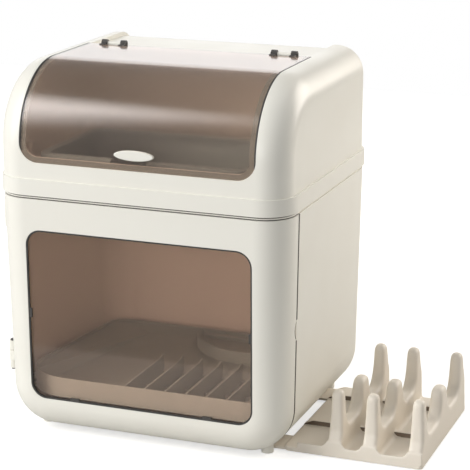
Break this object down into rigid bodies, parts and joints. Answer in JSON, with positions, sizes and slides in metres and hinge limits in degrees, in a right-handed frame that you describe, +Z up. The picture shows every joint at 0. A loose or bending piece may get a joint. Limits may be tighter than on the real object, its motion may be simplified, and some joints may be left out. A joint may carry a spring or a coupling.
{
  "type": "dish storage box",
  "caption": "Two-storey dish storage box with a flip-up smoke lid, a hinged window door and a pot-lid rack that slides out at the side.",
  "frame": {"origin": "on the worktop under the middle of the cabinet", "axes": "+X to the right along the front, +Y to the back, +Z up; the door and lid face -Y"},
  "size_m": [0.6929, 0.4025, 0.5565],
  "materials": {
    "cream_plastic": "satin",
    "rack_plastic": "satin",
    "tray_plastic": "fine matt",
    "smoke_plastic": "clear smoke tint",
    "dark_plastic": "satin",
    "dark_rubber": "matt",
    "grip_rubber": "matt",
    "steel": "plain",
    "magnet": "matt"
  },
  "bodies": {
    "cabinet": {"lower_body": "cream_plastic", "foot_1": "cream_plastic", "foot_2": "cream_plastic", "foot_3": "cream_plastic", "foot_4": "cream_plastic", "body_leaf_lower": "cream_plastic", "body_leaf_upper": "cream_plastic", "door_pin_lower": "dark_plastic", "door_pin_upper": "dark_plastic", "door_magnet": "magnet", "tray_rail_left": "tray_plastic", "tray_rail_right": "tray_plastic", "upper_base": "cream_plastic", "upper_cover": "cream_plastic", "body_screws": "steel", "cover_screws": "steel", "cover_knuckle_left": "cream_plastic", "cover_knuckle_right": "cream_plastic", "lid_pin_left": "dark_plastic", "lid_pin_right": "dark_plastic", "rack_guide_front": "rack_plastic", "rack_guide_rear": "rack_plastic", "guide_screws": "steel", "rack_stop_pegs": "steel", "cup_hanger": "cream_plastic"},
    "door": {"door_frame": "cream_plastic", "door_window": "smoke_plastic", "window_gasket": "dark_rubber", "window_clips": "dark_plastic", "door_leaf_lower": "cream_plastic", "door_leaf_upper": "cream_plastic", "door_strike": "steel"},
    "lid": {"lid_panel": "smoke_plastic", "lid_edging_left": "dark_rubber", "lid_edging_right": "dark_rubber", "lid_handle": "cream_plastic", "lid_ears_left": "dark_plastic", "lid_ears_right": "dark_plastic"},
    "lid_rack": {"rack_tray": "rack_plastic", "rack_tongue_front": "rack_plastic", "rack_tongue_rear": "rack_plastic", "tongue_screws": "steel", "divider_1": "rack_plastic", "divider_2": "rack_plastic", "divider_3": "rack_plastic", "grip_strip_front": "grip_rubber", "grip_strip_rear": "grip_rubber", "rack_feet": "dark_rubber"},
    "drip_tray": {"drip_tray": "tray_plastic"},
    "plate_rack": {"plate_rack": "tray_plastic"},
    "bowl_cradle": {"bowl_cradle": "tray_plastic"},
    "upper_tray": {"upper_tray": "tray_plastic"},
    "cup_rack": {"cup_rack": "tray_plastic"},
    "utensil_cup": {"utensil_cup": "cream_plastic"}
  },
  "joints": [
    {"name": "door_hinge", "type": "hinge", "parent": "cabinet", "child": "door", "pos_m": [-0.2295, -0.1415, 0.213], "axis": [0, 0, -1], "range_deg": [0, 110]},
    {"name": "lid_hinge", "type": "hinge", "parent": "cabinet", "child": "lid", "pos_m": [0, 0.0395, 0.5515], "axis": [-1, 0, 0], "range_deg": [0, 100]},
    {"name": "rack_slide", "type": "slide", "parent": "cabinet", "child": "lid_rack", "axis": [1, 0, 0], "range_m": [-0.025, 0]},
    {"name": "drip_tray_lift", "type": "slide", "parent": "cabinet", "child": "drip_tray", "axis": [0, 0, 1], "range_m": [0, 0.04]},
    {"name": "plate_rack_lift", "type": "slide", "parent": "drip_tray", "child": "plate_rack", "axis": [0, 0, 1], "range_m": [0, 0.04]},
    {"name": "bowl_cradle_lift", "type": "slide", "parent": "drip_tray", "child": "bowl_cradle", "axis": [0, 0, 1], "range_m": [0, 0.04]},
    {"name": "upper_tray_lift", "type": "slide", "parent": "cabinet", "child": "upper_tray", "axis": [0, 0, 1], "range_m": [0, 0.03]},
    {"name": "cup_rack_lift", "type": "slide", "parent": "upper_tray", "child": "cup_rack", "axis": [0, 0, 1], "range_m": [0, 0.03]},
    {"name": "utensil_cup_lift", "type": "slide", "parent": "cabinet", "child": "utensil_cup", "axis": [0, 0, 1], "range_m": [0, 0.03]}
  ]
}
